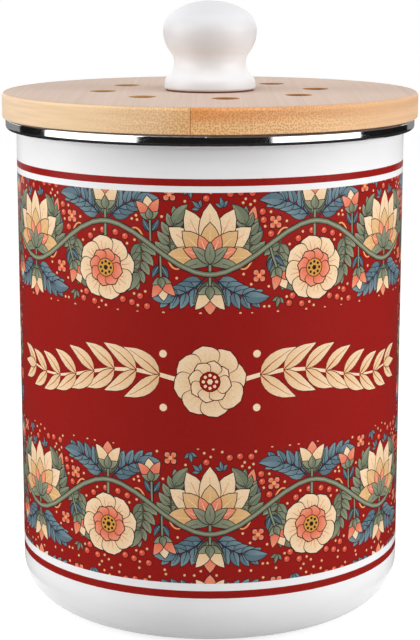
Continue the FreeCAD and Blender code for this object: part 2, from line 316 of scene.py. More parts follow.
def blade(start, angle, length, width, inks, bend=0.0, belly=0.8, blunt=1.0, steps=7,
          edge=INK, halves=False, rib=None):
    """An outlined leaf or petal, lighter at its tip, that may have a dark half or a rib."""
    light, deep = inks
    form = (bend, belly, blunt, steps)
    root = moved(start, angle, -OUTLINE)
    left, _, right = blade_edges(root, angle, length + 2.4 * OUTLINE, width + 2 * OUTLINE, *form)
    shapes = [flat(left + right[-2:0:-1], edge)]
    left, middle, right = blade_edges(start, angle, length, width, *form)
    shapes.append(Shape(left + right[-2:0:-1], deep, light, start, middle[-1]))
    if halves:
        shapes.append(flat(right + middle[-2:0:-1], deep))
    if rib:
        shapes.append(stroke(middle[:-1], *RIB_WIDTHS, rib))
    return shapes


def blade_pair(start, angle, lean, length, width, inks, bend=0.0, **form):
    """Blades that lean to both sides of a heading, or one without a lean."""
    shapes = []
    for side in ((1, -1) if lean else (1,)):
        shapes += blade(start, angle + lean * side, length, width, inks, bend=bend * side, **form)
    return shapes


def stroke(points, first_width, last_width, ink):
    """A tapered line along points."""
    pairs = []
    last = len(points) - 1
    for index, point in enumerate(points):
        ahead = points[min(last, index + 1)]
        behind = points[max(0, index - 1)]
        heading = atan2(ahead[1] - behind[1], ahead[0] - behind[0])
        half = (first_width + (last_width - first_width) * index / last) / 2
        pairs.append(both_sides(point, heading, half))
    left, right = zip(*pairs)
    return flat([*left, *right[::-1]], ink)


def stem(points, width):
    """An outlined green stem with a lit middle."""
    layers = ((width + 2 * OUTLINE, INK), (width, SAGE), (0.36 * width, LICHEN))
    return [stroke(points, wide, wide, ink) for wide, ink in layers]


def tendril(start, angle, size, side):
    """A thin stalk that curls up at its end."""
    steps = 16
    points = [start]
    for step in range(steps):
        share = step / steps
        heading = angle + side * 1.3 * tau * share ** 2
        points.append(moved(points[-1], heading, 1.6 * size * (1.25 - share) / steps))
    return [stroke(points, 0.75, 0.3, AMBER)]


def feather_leaf(start, angle, length, inks, rib, bend, reach):
    """A leaf of paired lobes along a bent rib, with a lobe at its end."""
    pairs = 5
    steps = 12
    points, headings = spine(start, angle, length, bend, steps)
    shapes = []
    for pair in range(pairs):
        share = 0.16 + 0.62 * pair / (pairs - 1)
        way = share * steps
        step = int(way)
        root = between(points[step], points[step + 1], way - step)
        lobe = length * reach * (1 - 0.55 * share)
        for side in (1, -1):
            shapes += blade(root, headings[step] + 0.95 * side, lobe, 0.5 * lobe, inks,
                            bend=-0.5 * side, belly=0.75, blunt=0.8, steps=5, halves=side < 0, rib=rib)
    shapes += blade(points[8], headings[8], 0.42 * length, 0.2 * length, inks,
                    bend=0.4 * bend, belly=0.7, blunt=0.8, steps=6, halves=True)
    shapes.append(stroke(points[:10], 0.7, 0.25, rib))
    return shapes


def berry(centre, radius):
    return [
        disc(centre, radius + OUTLINE, INK),
        disc(centre, radius, CORAL),
        disc(moved(centre, 2.2, 0.35 * radius), 0.36 * radius, BLUSH, 6),
    ]


def rosette(centre, radius, petals, outer, inner, heart, seeds, edge=INK):
    """A round flower: broad petals with veins, narrow ones inside and a seeded heart."""
    shapes = []
    width = 2.1 * radius * sin(pi / petals)
    for petal in range(petals):
        angle = 0.2 + tau * petal / petals
        shapes += blade(moved(centre, angle, 0.2 * radius), angle, 0.8 * radius, width, outer,
                        belly=1.5, blunt=0.62, steps=11, edge=edge)
        for lean in (-0.22, 0.0, 0.22):
            first = moved(centre, angle + 0.5 * lean, 0.45 * radius)
            last = moved(centre, angle + lean, (0.84 - 0.5 * abs(lean)) * radius)
            shapes.append(stroke([first, last], 0.3, 0.12, inner[1]))
    for petal in range(petals):
        angle = 0.2 + tau * (petal + 0.5) / petals
        shapes += blade(moved(centre, angle, 0.12 * radius), angle, 0.46 * radius, 0.62 * width, inner,
                        belly=1.2, blunt=0.8, edge=edge)
    shapes += [disc(centre, 0.27 * radius + OUTLINE, edge, 14), disc(centre, 0.27 * radius, heart, 14)]
    spots = [moved(centre, tau * seed / 8, 0.18 * radius) for seed in range(8)]
    shapes += [disc(spot, 0.05 * radius, seeds, 5) for spot in spots]
    shapes.append(disc(centre, 0.08 * radius, seeds, 6))
    return shapes


def bud(start, angle, size, outer, inner):
    """A half-open flower seen from the side, on its green cup."""
    shapes = blade(start, angle, size, 0.5 * size, inner, belly=1.0, blunt=0.8)
    shapes += blade_pair(start, angle, 0.38, 0.96 * size, 0.42 * size, outer, 0.35, blunt=0.8)
    shapes += blade_pair(start, angle, 0.75, 0.5 * size, 0.24 * size, GREEN_INKS, 0.5, steps=5)
    return shapes + blade(start, angle, 0.46 * size, 0.3 * size, GREEN_INKS, steps=5, halves=True)


def petal_row(start, size, leans, lengths, width, inks, bend, belly, vein):
    """Upright petals that lean apart, from the outside in, each with a vein."""
    shapes = []
    for lean, length in zip(leans, lengths):
        for side in ((1, -1) if lean else (1,)):
            angle = UPRIGHT + side * lean
            curl = bend * side * lean
            shapes += blade(start, angle, length * size, width * size, inks,
                            bend=curl, belly=belly, blunt=0.75)
            line, _ = spine(start, angle, 0.82 * length * size, curl, 4)
            shapes.append(stroke(line[2:], 0.34, 0.12, vein))
    return shapes


def lotus(start, size):
    """An open flower seen from the side: rows of petals on a leafy cup."""
    rows = (
        ((0.74, 0.36, 0.0), (0.9, 0.98, 1.0), 0.36, PALE_INKS, 0.3, 1.15, CORAL),
        ((1.12, 0.56, 0.0), (0.74, 0.7, 0.68), 0.32, GOLD_INKS, 0.5, 1.05, CREAM),
        ((0.84, 0.28), (0.5, 0.5), 0.2, WARM_INKS, 0.5, 1.0, CREAM),
        ((1.35, 0.62, 0.0), (0.5, 0.4, 0.36), 0.16, GREEN_INKS, 0.6, 0.8, MOSS),
    )
    return [shape for row in rows for shape in petal_row(start, size, *row)]


def sprig(start, angle, length):
    """A stalk with two leaves and a bud at its end."""
    path, headings = spine(start, angle, length, 0.25, 6)
    shapes = blade_pair(path[3], headings[3], 0.8, 0.62 * length, 0.24 * length, DEEP_BLUE_INKS, -0.5,
                        steps=5, rib=MIST)
    shapes += stem(path, 0.8)
    return shapes + bud(path[-1], headings[-1], 0.95 * length, WARM_INKS, PALE_INKS)


def on_wave(quarters):
    """A point of a row's running stem, given in quarters of a repeat."""
    return (quarters * QUARTER, WAVE * sin(pi / 2 * quarters))


def half_row():
    """What grows on the crest of a row's running stem and beside it."""
    x, y = on_wave(1)
    bud_foot = (x, y + BUD_RISE)
    shapes = []
    for side in (1, -1):
        root = (x - 0.8 * side, y)
        shapes += feather_leaf(root, UPRIGHT + 0.62 * side, CREST_LEAF, BLUE_INKS, NAVY, 1.05 * side, 0.4)
        shapes += blade((x, y + 2), UPRIGHT + 0.42 * side, 11, 4, DEEP_GREEN_INKS,
                        bend=0.35 * side, rib=LICHEN)
    shapes += stem([(x, y), bud_foot], BUD_STEM)
    shapes += bud(bud_foot, UPRIGHT, CREST_BUD, PALE_INKS, WARM_INKS)
    shapes += feather_leaf(on_wave(0.34), -1.95, SIDE_LEAF, GREEN_INKS, MOSS, 1.15, 0.38)
    shapes += feather_leaf(on_wave(1.66), -1.19, SIDE_LEAF, GREEN_INKS, MOSS, -1.15, 0.38)
    shapes += sprig(on_wave(-0.1), 1.75, SPRIG_LENGTH)
    shapes += sprig(on_wave(1.9), 1.45, SPRIG_LENGTH)
    shapes += tendril(on_wave(0.22), 1.2, TENDRIL_SIZE, -1)
    shapes += tendril(on_wave(1.78), pi - 1.2, TENDRIL_SIZE, 1)
    return shapes


def row_shapes():
    """One repeat of one row; its stem runs along y = 0, and its largest flower is at x = 0."""
    half = half_row()
    shapes = half + half_turned(half, (REPEAT / 2, 0))
    x, y = on_wave(3)
    lotus_foot = (x, y + LOTUS_STEM)
    shapes += stem([(x, y), lotus_foot], FLOWER_STEM)
    shapes += lotus(lotus_foot, LOTUS_SIZE)
    shapes += stem([on_wave(1), (QUARTER, 0)], FLOWER_STEM)
    shapes += rosette((QUARTER, -ROSETTE_DROP), ROSETTE_RADIUS, 8, PALE_INKS, WARM_INKS, OCHRE, INK)
    shapes += stem([on_wave(4 * k / WAVE_STEPS) for k in range(WAVE_STEPS + 1)], ROW_STEM)
    return shifted(fillers(shapes) + shapes, -3 * QUARTER, 0)


def inside(point, outline):
    """Whether a point lies in a closed outline."""
    x, y = point
    hit = False
    for (ax, ay), (bx, by) in zip(outline, outline[1:] + outline[:1]):
        if (ay > y) != (by > y) and x < ax + (y - ay) / (by - ay) * (bx - ax):
            hit = not hit
    return hit


def quatrefoil(centre, size):
    shapes = []
    for petal in range(4):
        angle = pi / 4 + pi / 2 * petal
        shapes += blade(moved(centre, angle, 0.1 * size), angle, 0.9 * size, 0.75 * size, WARM_INKS,
                        belly=1.3, blunt=0.7, steps=5)
    return shapes + [disc(centre, 0.3 * size, AMBER, 7)]


def leaf_spray(centre, size, angle, inks, leans, width):
    """Leaves that fan out from one root to both sides, the middle one on top."""
    shapes = []
    root = moved(centre, angle, -0.7 * size)
    for lean in (*leans, 0.0):
        length = (1.7 - 0.4 * lean) * size
        shapes += blade_pair(root, angle, lean, length, width * size, inks, steps=5, halves=True)
    return shapes


def filler(kind, centre, size, draw):
    """One small motif; leaves get a random direction and inks."""
    if kind == "flower":
        return quatrefoil(centre, size)
    if kind == "berry":
        return berry(centre, size)
    if kind == "seed":
        return [disc(centre, size, BUFF, 6)]
    angle = draw.uniform(0, tau)
    inks = draw.choice((GREEN_INKS, BLUE_INKS))
    return leaf_spray(centre, size, angle, inks, *LEAF_FANS[kind])


def fillers(shapes):
    """Small motifs strewn over the open ground of one repeat."""
    draw = random.Random(FILLER_SEED)
    outlines = [[(x + dx, y + dy) for x, y in shape.outline] for shape in shapes for dx, dy in ROW_COPIES]
    points = [point for outline in outlines for point in outline]
    near = KDTree(len(points))
    for index, point in enumerate(points):
        near.insert((*point, 0), index)
    near.balance()
    spans = []
    for outline in outlines:
        xs, ys = zip(*outline)
        spans.append((min(xs), max(xs), min(ys), max(ys), outline))
    placed = []
    added = []

    def is_free(x, y, size):
        to_edges = [abs((y - edge + ROW / 2) % ROW - ROW / 2) for edge in CUT_EDGES]
        if any(FILLER_CORE * size < way < FILLER_REACH * size + FILLER_GAP for way in to_edges):
            return False
        if near.find((x, y, 0))[2] < size + FILLER_GAP:
            return False
        if any(hypot(x - px, y - py) < size + other + FILLER_GAP for px, py, other in placed):
            return False
        return not any(a < x < b and c < y < d and inside((x, y), outline) for a, b, c, d, outline in spans)

    for kind, size, tries in FILLERS:
        for _ in range(tries):
            x = draw.uniform(0, REPEAT)
            y = draw.uniform(-ROW / 2, ROW / 2)
            if is_free(x, y, size):
                placed += [(x + dx, y + dy, size) for dx, dy in ROW_COPIES]
                added += filler(kind, (x, y), size, draw)
    return added


def garland():
    """A cream flower with a leafy branch to either side, about x = 0 and y = 0."""
    shapes = []
    berry_x, berry_y, berry_radius = GARLAND_BERRY
    for side in (1, -1):
        heading = 0.0 if side > 0 else pi
        path = [(side * (GARLAND_START + GARLAND_STEP * k), GARLAND_WAVE * sin(0.7 * k))
                for k in range(GARLAND_STEPS)]
        shapes.append(stroke(path, 1.8, 0.7, CREAM))
        for index, point in enumerate(path[1:], start=1):
            length = GARLAND_LEAF - 0.75 * index
            shapes += blade_pair(point, heading, GARLAND_LEAN, length, 0.34 * length, PALE_INKS,
                                 -0.6 * GARLAND_LEAN, edge=PLUM, rib=GROUND)
        shapes += [disc((side * berry_x, rise), berry_radius, CREAM, 12) for rise in (berry_y, -berry_y)]
        shapes += blade(path[-1], heading, 11, 4, PALE_INKS, edge=PLUM)
    return shapes + rosette((0, 0), GARLAND_FLOWER, 8, PALE_INKS, PALE_INKS, GROUND, CREAM, edge=PLUM)


def band_shapes():
    """The band, lowest shape first: its red ground, then its rows of flowers."""
    row = row_shapes()
    shapes = [box_shape((-REPEAT, BAND_LOW), (REPEAT, BAND_HIGH), GROUND)]
    for index in range(-1, PRINT_ROWS):
        shapes += shifted(row, (index % 2) * REPEAT / 2, BAND_LOW + PRINT_RISE + (index + 0.5) * ROW)
    return shapes


def line_shapes():
    """The red lines above and below the band, and bare enamel beside them."""
    bare = [(SHEET_LOW, BAND_LOW, None), (BAND_HIGH, SHEET_HIGH, None)]
    lines = [(*LOWER_LINE, GROUND), (*UPPER_LINE, GROUND)]
    return [box_shape((-REPEAT, low), (REPEAT, high), ink) for low, high, ink in bare + lines]


def panel_shapes():
    """The plain red panel round the front, with its garland."""
    middle = (PANEL_LOW + PANEL_HIGH) / 2
    panel = box_shape((-PANEL_HALF_WIDTH, PANEL_LOW), (PANEL_HALF_WIDTH, PANEL_HIGH), GROUND)
    return [panel] + shifted(garland(), 0, middle)


def copies_about_front(shapes, offsets):
    """Copies of shapes, moved along x, that reach into the repeat about x = 0."""
    found = []
    for shape in shapes:
        xs = [x for x, _ in shape.outline]
        for offset in offsets:
            if min(xs) + offset < REPEAT / 2 and max(xs) + offset > -REPEAT / 2:
                found += shifted([shape], offset, 0)
    return found


def anticlockwise(outline):
    area = sum(a[0] * b[1] - b[0] * a[1] for a, b in zip(outline, outline[1:] + outline[:1]))
    return outline if area > 0 else outline[::-1]


def divided_sheet(shapes):
    """One repeat of the sheet cut along the shapes, and the shape that each material index shows."""
    stack = [box_shape((-REPEAT / 2, SHEET_LOW), (REPEAT / 2, SHEET_HIGH), None), *shapes]
    corners = []
    outlines = []
    for shape in stack:
        first = len(corners)
        corners += [Vector(point) for point in anticlockwise(shape.outline)]
        outlines.append(list(range(first, len(corners))))
    folds = []
    for strip in range(1, REPEAT_STRIPS):
        x = REPEAT * (strip / REPEAT_STRIPS - 0.5)
        folds.append((len(corners), len(corners) + 1))
        corners += [Vector((x, SHEET_LOW)), Vector((x, SHEET_HIGH))]
    points, _, faces, _, _, covers = delaunay_2d_cdt(corners, folds, outlines, 1, CUT_TOLERANCE)
    cut = bmesh.new()
    spots = [cut.verts.new((point.x, point.y, 0)) for point in points]
    owners = {}
    for face, cover in zip(faces, covers):
        if 0 not in cover:
            continue
        x = sum(points[index].x for index in face) / len(face)
        strip = int((x / REPEAT + 0.5) * REPEAT_STRIPS)
        made = cut.faces.new([spots[index] for index in face])
        made.material_index = owners.setdefault((strip, max(cover)), len(owners))
    bmesh.ops.delete(cut, geom=[spot for spot in spots if not spot.link_faces], context="VERTS")
    cut.normal_update()
    bmesh.ops.dissolve_limit(cut, angle_limit=DISSOLVE_ANGLE, use_dissolve_boundaries=False, verts=cut.verts,
                             edges=cut.edges, delimit={"MATERIAL"})
    cut.verts.index_update()
    return cut, [stack[cover] for _, cover in owners]


def ink_at(shape, point):
    """A shape's colour at a point, and 1 for ink or 0 for bare enamel."""
    if shape.first_ink is None:
        return (*BARE, 0.0)
    run = (shape.last[0] - shape.first[0], shape.last[1] - shape.first[1])
    way = (point[0] - shape.first[0]) * run[0] + (point[1] - shape.first[1]) * run[1]
    share = min(max(way / (run[0] ** 2 + run[1] ** 2), 0.0), 1.0)
    return (*between(shape.first_ink, shape.last_ink, share), 1.0)


def around(radius, turn, *height):
    """A point about the axis; a turn of 0 is the front, and a quarter turn the right."""
    return (radius * sin(turn), -radius * cos(turn), *height)


def on_wall(point, repeat):
    """A sheet's point on the wall, in metres; the wall is flat between two folds."""
    way = (point[0] / REPEAT + 0.5) * REPEAT_STRIPS
    strip = min(max(int(way), 0), REPEAT_STRIPS - 1)
    turns = [STRIP_TURN * (fold + REPEAT_STRIPS * (repeat - 0.5)) for fold in (strip, strip + 1)]
    first, last = [around(CANISTER_RADIUS, turn, point[1]) for turn in turns]
    return Vector(between(first, last, way - strip)) * MM


def rounded(points):
    """An open profile of (r, z) or (r, z, corner radius) points, with rounded corners."""
    path = [Vector(points[0])]
    for before, here, after in zip(points, points[1:], points[2:]):
        corner = Vector(here[:2])
        if len(here) == 2:
            path.append(corner)
            continue
        back = (Vector(before[:2]) - corner).normalized()
        ahead = (Vector(after[:2]) - corner).normalized()
        half_angle = back.angle(ahead) / 2
        centre = corner + (back + ahead).normalized() * here[2] / sin(half_angle)
        first = corner + back * here[2] / tan(half_angle) - centre
        turn = back.angle_signed(-ahead)
        steps = max(2, ceil(abs(turn) / ARC_STEP))
        for step in range(steps + 1):
            spin = -turn * step / steps
            path.append(centre + Vector((
                first.x * cos(spin) - first.y * sin(spin),
                first.x * sin(spin) + first.y * cos(spin))))
    return path + [Vector(points[-1])]


def profile_normals(path):
    """The outward direction at each point of a profile that has its outside on the left."""
    sides = [Vector((a.y - b.y, b.x - a.x)) for a, b in zip(path, path[1:])]
    return [(a + b).normalized() for a, b in zip([sides[0]] + sides, sides + [sides[-1]])]


def add_turned(mesh, path, segments, first_turn):
    """Adds a profile in millimetres turned about the axis, and returns its faces."""
    direction = mesh.verts.layers.float_vector["direction"]
    rings = []
    for point, normal in zip(path, profile_normals(path)):
        ring = []
        for segment in range(segments if point.x > 0 else 1):
            turn = first_turn + tau * segment / segments
            spot = mesh.verts.new(Vector(around(point.x, turn, point.y)) * MM)
            spot[direction] = Vector(around(normal.x, turn, normal.y)) if point.x > 0 else (0, 0, normal.y)
            ring.append(spot)
        rings.append(ring if point.x > 0 else ring * segments)
    faces = []
    for lower, upper in zip(rings, rings[1:]):
        for segment in range(segments):
            ahead = (segment + 1) % segments
            corners = (lower[segment], lower[ahead], upper[ahead], upper[segment])
            faces.append(mesh.faces.new(list(dict.fromkeys(corners))))
    return faces


def in_scene(name, data):
    """A new object in the scene."""
    item = bpy.data.objects.new(name, data)
    bpy.context.scene.collection.objects.link(item)
    return item


def finished_piece(name, mesh, material, body):
    """Makes a bmesh a smooth piece that rides on a body; its direction layer gives its normals."""
    bmesh.ops.remove_doubles(mesh, verts=mesh.verts, dist=MERGE_DISTANCE)
    bmesh.ops.recalc_face_normals(mesh, faces=mesh.faces)
    for face in mesh.faces:
        face.smooth = True
    data = bpy.data.meshes.new(name)
    mesh.to_mesh(data)
    mesh.free()
    directions = [tuple(item.vector) for item in data.attributes["direction"].data]
    data.normals_split_custom_set_from_vertices(directions)
    data.attributes.remove(data.attributes["direction"])
    data.materials.append(material)
    piece = in_scene(name, data)
    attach(piece, body)
    return piece


def shell_profiles():
    """The shell without its printed sheet: over the lip to the inside, and under the base."""
    ring_inner = CANISTER_RADIUS - BASE_CORNER_RADIUS - BASE_RING_WIDTH
    recess_edge = ring_inner - BASE_RECESS_SLOPE
    bore = CANISTER_RADIUS - WALL
    lip_radius = CANISTER_RADIUS + LIP_REACH
    lip_under = CANISTER_HEIGHT - WALL
    lip_end = CANISTER_HEIGHT - LIP_DROP
    over = rounded([
        (0, BASE_RECESS_RISE + WALL),
        (recess_edge, BASE_RECESS_RISE + WALL, WALL),
        (ring_inner, WALL, BASE_RECESS_RADIUS),
        (bore, WALL, BASE_CORNER_RADIUS - WALL),
        (bore, CANISTER_HEIGHT, MOUTH_RADIUS),
        (lip_radius, CANISTER_HEIGHT, LIP_EDGE_RADIUS),
        (lip_radius, lip_end),
        (lip_radius - WALL, lip_end),
        (lip_radius - WALL, lip_under, LIP_FOLD_RADIUS),
        (CANISTER_RADIUS, lip_under, LIP_ROOT_RADIUS),
        (CANISTER_RADIUS, SHEET_HIGH),
    ])
    under = rounded([
        (CANISTER_RADIUS, SHEET_LOW),
        (CANISTER_RADIUS, 0, BASE_CORNER_RADIUS),
        (ring_inner, 0, WALL),
        (recess_edge, BASE_RECESS_RISE, BASE_RECESS_RADIUS),
        (0, BASE_RECESS_RISE),
    ])
    return over, under


def map_place(quarter, share, height):
    """The texture map's point for a quarter of the sheet; the quarters lie two by two."""
    u = (quarter % 2 + MAP_MARGIN + (1 - 2 * MAP_MARGIN) * share) / 2
    v = (quarter // 2 + MAP_MARGIN + (1 - 2 * MAP_MARGIN) * height) / 2
    return (u, v * MAP_PRINT_SHARE)


def add_printed_sheet(mesh, repeat, cut, shown):
    """Wraps one repeat of the divided sheet round the wall, with the ink at each corner."""
    direction = mesh.verts.layers.float_vector["direction"]
    ink = mesh.loops.layers.float_color["print"]
    texture = mesh.loops.layers.uv[TEXTURE_MAP]
    spots = []
    for vertex in cut.verts:
        spot = mesh.verts.new(on_wall(vertex.co, repeat))
        turn = (vertex.co.x / REPEAT + repeat) * tau / PRINT_REPEATS
        spot[direction] = Vector(around(1, turn, 0))
        spots.append(spot)

    def quarters_from_back(x):
        return 4 * ((x / REPEAT + repeat) / PRINT_REPEATS + 0.5)

    for face in cut.faces:
        made = mesh.faces.new([spots[vertex.index] for vertex in face.verts])
        shape = shown[face.material_index]
        quarter = int(quarters_from_back(face.calc_center_median().x))
        for loop, vertex in zip(made.loops, face.verts):
            loop[ink] = ink_at(shape, vertex.co)
            share = quarters_from_back(vertex.co.x) - quarter
            height = (vertex.co.y - SHEET_LOW) / (SHEET_HIGH - SHEET_LOW)
            loop[texture].uv = map_place(quarter % 4, share, height)


def add_shell(mesh, path, map_low):
    """Adds a turned part of the shell as bare enamel, with a stripe of the texture map."""
    ink = mesh.loops.layers.float_color["print"]
    texture = mesh.loops.layers.uv[TEXTURE_MAP]
    faces = add_turned(mesh, path, STRIPS, -pi / PRINT_REPEATS)
    for index, face in enumerate(faces):
        step, segment = divmod(index, STRIPS)
        u = (segment + 0.5) / STRIPS
        v = map_low + MAP_STRIPE * (step + 0.5) / len(path)
        for loop in face.loops:
            loop[ink] = (*BARE, 0.0)
            loop[texture].uv = (u, v)


def build_canister():
    """The enamelled shell as one mesh, with the printed sheet cut into its wall."""
    mesh = bmesh.new()
    mesh.verts.layers.float_vector.new("direction")
    mesh.loops.layers.float_color.new("print")
    mesh.loops.layers.uv.new(TEXTURE_MAP)
    band = copies_about_front(band_shapes(), (-REPEAT, 0, REPEAT)) + line_shapes()
    panel = panel_shapes()
    plain = divided_sheet(band)
    for repeat in range(PRINT_REPEATS):
        beside = repeat if repeat <= PRINT_REPEATS / 2 else repeat - PRINT_REPEATS
        on_top = copies_about_front(panel, (-beside * REPEAT,))
        cut, shown = divided_sheet(band + on_top) if on_top else plain
        add_printed_sheet(mesh, beside, cut, shown)
    over, under = shell_profiles()
    add_shell(mesh, over, MAP_PRINT_SHARE)
    add_shell(mesh, under, MAP_PRINT_SHARE + MAP_STRIPE)
    piece = finished_piece("enamel_canister", mesh, enamel(), "canister")
    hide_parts("canister_body")


def build_charcoal_pad():
    """The filter's foam pad: a soft-edged disc with a slightly uneven surface."""
    flat_radius = PAD_RADIUS - PAD_EDGE_RADIUS - PAD_EDGE_STEP
    rim = rounded([
        (flat_radius, PAD_BASE),
        (PAD_RADIUS, PAD_BASE, PAD_EDGE_RADIUS),
        (PAD_RADIUS, PAD_TOP, PAD_EDGE_RADIUS),
        (flat_radius, PAD_TOP),
    ])
    radii = [flat_radius * ring / PAD_RINGS for ring in range(PAD_RINGS)]
    lower = [Vector((radius, PAD_BASE)) for radius in radii]
    upper = [Vector((radius, PAD_TOP)) for radius in reversed(radii)]
    mesh = bmesh.new()
    direction = mesh.verts.layers.float_vector.new("direction")
    add_turned(mesh, (lower + rim + upper)[::-1], PAD_SEGMENTS, 0.0)
    for vertex in mesh.verts:
        dent = noise.noise(vertex.co * PAD_DENT_SCALE) + 0.5 * noise.noise(vertex.co * 3 * PAD_DENT_SCALE)
        vertex.co -= vertex[direction] * PAD_DENT * MM * (1 + dent)
    piece = finished_piece("charcoal_pad", mesh, charcoal_foam(), "filter")
    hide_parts("charcoal_filter")


# Materials


def new_material(name):
    """A new material, its node tree and its shader."""
    material = bpy.data.materials.new(name)
    material.use_nodes = True
    return material, material.node_tree, material.node_tree.nodes["Principled BSDF"]


def add_node(tree, kind, inputs=None, **settings):
    """Adds a node with its inputs and settings."""
    node = tree.nodes.new("ShaderNode" + kind)
    for name, value in settings.items():
        setattr(node, name, value)
    set_inputs(node, inputs or {})
    return node


def set_inputs(node, inputs):
    """Sets a node's inputs, each to a value or to another node's output."""
    for name, value in inputs.items():
        connect(value, node.inputs[name])


def connect(value, socket):
    if isinstance(value, bpy.types.NodeSocket):
        socket.id_data.links.new(value, socket)
    else:
        socket.default_value = value


def tree_of(*values):
    """The node tree of the first output among some values."""
    return next(value.id_data for value in values if isinstance(value, bpy.types.NodeSocket))


def place(tree, scale=(1, 1, 1)):
    """The piece's own coordinates in metres, stretched."""
    source = add_node(tree, "TexCoord").outputs["Object"]
    return add_node(tree, "Mapping", {"Vector": source, "Scale": scale}).outputs["Vector"]


def cloud(vector, scale, detail=2.0, rough=0.5):
    """A soft noise from 0 to 1; scale is in bumps to the metre."""
    inputs = {"Vector": vector, "Scale": scale, "Detail": detail, "Roughness": rough}
    return add_node(vector.id_data, "TexNoise", inputs).outputs["Fac"]


def ramp(factor, *stops):
    """Colours or grey levels along a factor; a stop is (position, colour or level)."""
    node = add_node(factor.id_data, "ValToRGB", {"Fac": factor})
    elements = node.color_ramp.elements
    while len(elements) < len(stops):
        elements.new(0.5)
    for element, (position, value) in zip(elements, stops):
        element.position = position
        element.color = (*value, 1) if isinstance(value, tuple) else (value, value, value, 1)
    return node.outputs["Color"]


def spread(noise_level, low, high):
    """Colours or grey levels from one to another over the usual reach of a noise."""
    return ramp(noise_level, (0.3, low), (0.7, high))


def mixed(factor, first, second, blend="MIX"):
    tree = tree_of(factor, first, second)
    node = add_node(tree, "Mix", {"Factor": factor}, data_type="RGBA", blend_type=blend)
    colours = [socket for socket in node.inputs if socket.type == "RGBA"]
    connect(first, colours[0])
    connect(second, colours[1])
    return [socket for socket in node.outputs if socket.type == "RGBA"][0]


def times(first, second):
    return mixed(1.0, first, second, "MULTIPLY")


def sums(operation, first, second=0.0):
    tree = tree_of(first, second)
    return add_node(tree, "Math", {0: first, 1: second}, operation=operation).outputs["Value"]


def bumped(shader, height, strength, distance):
    """Gives a shader fine relief, with its height in metres."""
    inputs = {"Height": height, "Strength": strength, "Distance": distance}
    connect(add_node(shader.id_data, "Bump", inputs).outputs["Normal"], shader.inputs["Normal"])


def enamel():
    """Fired enamel: a deep gloss with a faint ripple, and the print under it in its own inks."""
    material, tree, shader = new_material("enamel")
    ink = add_node(tree, "Attribute", attribute_name="print")
    spot = place(tree)
    white = ramp(cloud(spot, 22, 4), (0.35, (0.80, 0.795, 0.80)), (0.65, (0.84, 0.836, 0.838)))
    grain = spread(cloud(spot, 1500, 3), 0.9, 1.06)
    printed = times(ink.outputs["Color"], grain)
    set_inputs(shader, {
        "Base Color": mixed(ink.outputs["Alpha"], white, printed),
        "Roughness": spread(cloud(spot, 90, 3), 0.16, 0.24),
        "Specular IOR Level": 0.1,
    })
    bumped(shader, cloud(spot, 160, 2), 0.12, SOFT_RELIEF)
    return material


def clouded_finish(name, tone, gloss, relief, values=None, stretch=(1, 1, 1)):
    """A finish of soft noises in colour, roughness and relief, each with its scale and detail first."""
    material, tree, shader = new_material(name)
    spot = place(tree, stretch)
    set_inputs(shader, {
        "Base Color": spread(cloud(spot, *tone[:2]), *tone[2:]),
        "Roughness": spread(cloud(spot, *gloss[:2]), *gloss[2:]),
        **(values or {}),
    })
    bumped(shader, cloud(spot, *relief[:2]), relief[2], FINE_RELIEF)
    return material


def bright_steel():
    """Polished steel with a fine run of the wheel round the band."""
    tone = (90, 4, (0.70, 0.70, 0.71), (0.80, 0.80, 0.81))
    gloss = (90, 4, 0.05, 0.11)
    return clouded_finish("bright_steel", tone, gloss, (90, 4, 0.03), {"Metallic": 1.0}, (1, 1, 40))


def board_edge_tone_and_painted_shade(axes, low):
    """Tone of the board's cut edge: a pale plank, and a more orange one right of the seam; towards the
    board's ends both are toned down, painted shade that offsets the stronger side light there.
    """
    across = sums("DIVIDE", sums("SUBTRACT", axes["X"], BOARD_SEAM), BOARD_REACH)
    # The far ends of these ramps are toned down: painted shade against the stronger side light.
    pale = ramp(sums("MULTIPLY", across, -1.0),
                (0.0, screen(226, 178, 124)), (0.16, screen(231, 192, 147)),
                (0.6, screen(226, 194, 153)), (1.0, screen(221, 191, 159)))
    upper = ramp(across,
                 (0.0, screen(226, 153, 88)), (0.45, screen(220, 164, 112)), (1.0, screen(210, 165, 123)))
    lower = ramp(across,
                 (0.0, screen(234, 184, 126)), (0.5, screen(232, 188, 138)), (1.0, screen(216, 174, 134)))
    dark = mixed(low, upper, lower)
    return mixed(sums("GREATER_THAN", axes["X"], BOARD_SEAM), pale, dark)


def board_dots(tree, axes):
    """Cut ends of the fibres, thickest beside the seam and gone at the board's sides."""
    cut_face = add_node(tree, "CombineXYZ", {"X": axes["X"], "Y": axes["Z"]}).outputs["Vector"]
    inputs = {"Vector": cut_face, "Scale": DOT_SCALE, "Randomness": 0.8}
    cells = add_node(tree, "TexVoronoi", inputs, voronoi_dimensions="2D").outputs["Distance"]
    dot = ramp(cells, (0.16, 1.0), (0.46, 0.0))
    apart = sums("ABSOLUTE", sums("SUBTRACT", axes["X"], DOT_MIDDLE))
    thick = ramp(sums("MULTIPLY", apart, DOT_FADE), (0.3, 1.0), (0.9, 0.0))
    return sums("MULTIPLY", dot, thick)


def board_edge(tree, axes, strip, dots):
    """The board's cut edge: planks in two plies with fibre ends, and a dark seam, with painted shade towards
    its ends.
    """
    depth = sums("MULTIPLY", sums("SUBTRACT", BOARD_PLY_HEIGHT, axes["Z"]), BOARD_PLY_BLEND)
    low = ramp(depth, (0.0, 0.0), (1.0, 1.0))
    layers = cloud(place(tree, (0.05, 0.04, 1)), 900, 4, 0.6)
    edge = times(board_edge_tone_and_painted_shade(axes, low), spread(layers, 0.9, 1.06))
    dot_tint = mixed(low, (0.80, 0.64, 0.46, 1), (0.72, 0.54, 0.36, 1))
    edge = mixed(dots, edge, times(edge, dot_tint))
    seam = ramp(sums("ABSOLUTE", strip), (0.004, (0.62, 0.5, 0.38)), (0.014, (1, 1, 1)))
    return times(edge, seam)


